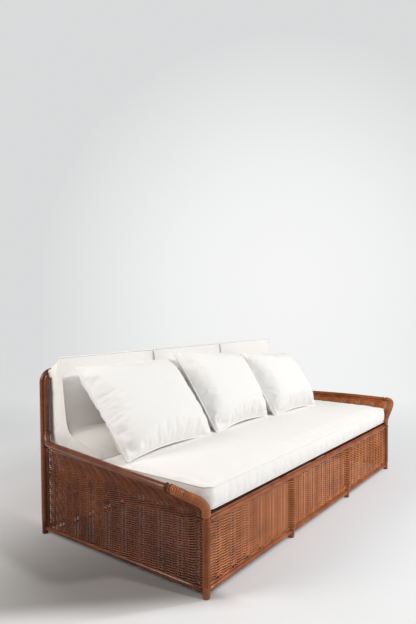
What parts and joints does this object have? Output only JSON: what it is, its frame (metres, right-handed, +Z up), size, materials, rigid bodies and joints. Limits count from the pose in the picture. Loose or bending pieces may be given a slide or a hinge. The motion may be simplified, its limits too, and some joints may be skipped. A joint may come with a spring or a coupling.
{
  "type": "rattan garden sofa",
  "caption": "Long rattan garden sofa with arms that flare outward, a woven shell, a slatted deck, loose seat and back cushions and throw pillows.",
  "frame": {"origin": "on the floor, under the middle of the whole sofa with its cushions", "axes": "+X along the length to the viewer's right, +Y from the front to the back, +Z up"},
  "size_m": [2.4554, 1.0692, 0.886],
  "materials": {
    "dark_cane": "reddish brown rattan pole, satin lacquer",
    "light_cane": "light cane, satin",
    "weave": "reddish brown woven rattan core, satin lacquer",
    "cushion_cloth": "off-white woven cotton, matte",
    "pillow_cloth": "off-white woven cotton, matte"
  },
  "bodies": {
    "frame": {"left_front_post": "dark_cane", "left_arm_bend": "dark_cane", "left_arm_rail": "dark_cane", "left_arm_underrail": "dark_cane", "left_back_post": "dark_cane", "left_back_stile": "dark_cane", "left_bottom_rail": "dark_cane", "left_seat_rail": "dark_cane", "left_side_brace": "dark_cane", "left_arm_binding": "light_cane", "left_post_binding": "dark_cane", "left_side_panel": "weave", "right_front_post": "dark_cane", "right_arm_bend": "dark_cane", "right_arm_rail": "dark_cane", "right_arm_underrail": "dark_cane", "right_back_post": "dark_cane", "right_back_stile": "dark_cane", "right_bottom_rail": "dark_cane", "right_seat_rail": "dark_cane", "right_side_brace": "dark_cane", "right_arm_binding": "light_cane", "right_post_binding": "dark_cane", "right_side_panel": "weave", "front_top_rail": "dark_cane", "front_top_strip": "dark_cane", "front_bottom_rail": "dark_cane", "front_bottom_strip": "dark_cane", "back_bottom_rail": "dark_cane", "back_top_rail": "dark_cane", "back_seat_rail": "dark_cane", "front_mid_post_1": "dark_cane", "back_mid_post_1": "dark_cane", "front_mid_post_2": "dark_cane", "back_mid_post_2": "dark_cane", "seat_bearer_1": "dark_cane", "seat_bearer_2": "dark_cane", "seat_bearer_3": "dark_cane", "seat_rod_1": "light_cane", "seat_rod_2": "light_cane", "seat_rod_3": "light_cane", "seat_rod_4": "light_cane", "seat_rod_5": "light_cane", "seat_rod_6": "light_cane", "seat_rod_7": "light_cane", "front_panel_1": "weave", "back_panel_1": "weave", "front_panel_2": "weave", "back_panel_2": "weave", "front_panel_3": "weave", "back_panel_3": "weave"},
    "seat_cushion": {"seat_cushion": "cushion_cloth"},
    "back_cushion_1": {"back_cushion_1": "cushion_cloth"},
    "back_cushion_2": {"back_cushion_2": "cushion_cloth"},
    "back_cushion_3": {"back_cushion_3": "cushion_cloth"},
    "throw_pillow_1": {"throw_pillow_1": "pillow_cloth"},
    "throw_pillow_2": {"throw_pillow_2": "pillow_cloth"},
    "throw_pillow_3": {"throw_pillow_3": "pillow_cloth"}
  },
  "joints": [
    {"name": "seat_cushion_lift", "type": "slide", "parent": "frame", "child": "seat_cushion", "axis": [0, 0, 1], "range_m": [0, 0.6]},
    {"name": "back_cushion_1_lift", "type": "slide", "parent": "seat_cushion", "child": "back_cushion_1", "axis": [0, 0, 1], "range_m": [0, 0.6]},
    {"name": "back_cushion_2_lift", "type": "slide", "parent": "seat_cushion", "child": "back_cushion_2", "axis": [0, 0, 1], "range_m": [0, 0.6]},
    {"name": "back_cushion_3_lift", "type": "slide", "parent": "back_cushion_2", "child": "back_cushion_3", "axis": [0, 0, 1], "range_m": [0, 0.6]},
    {"name": "throw_pillow_1_lift", "type": "slide", "parent": "back_cushion_1", "child": "throw_pillow_1", "axis": [0, 0, 1], "range_m": [0, 0.5]},
    {"name": "throw_pillow_2_lift", "type": "slide", "parent": "back_cushion_2", "child": "throw_pillow_2", "axis": [0, 0, 1], "range_m": [0, 0.5]},
    {"name": "throw_pillow_3_lift", "type": "slide", "parent": "back_cushion_3", "child": "throw_pillow_3", "axis": [0, 0, 1], "range_m": [0, 0.5]}
  ]
}
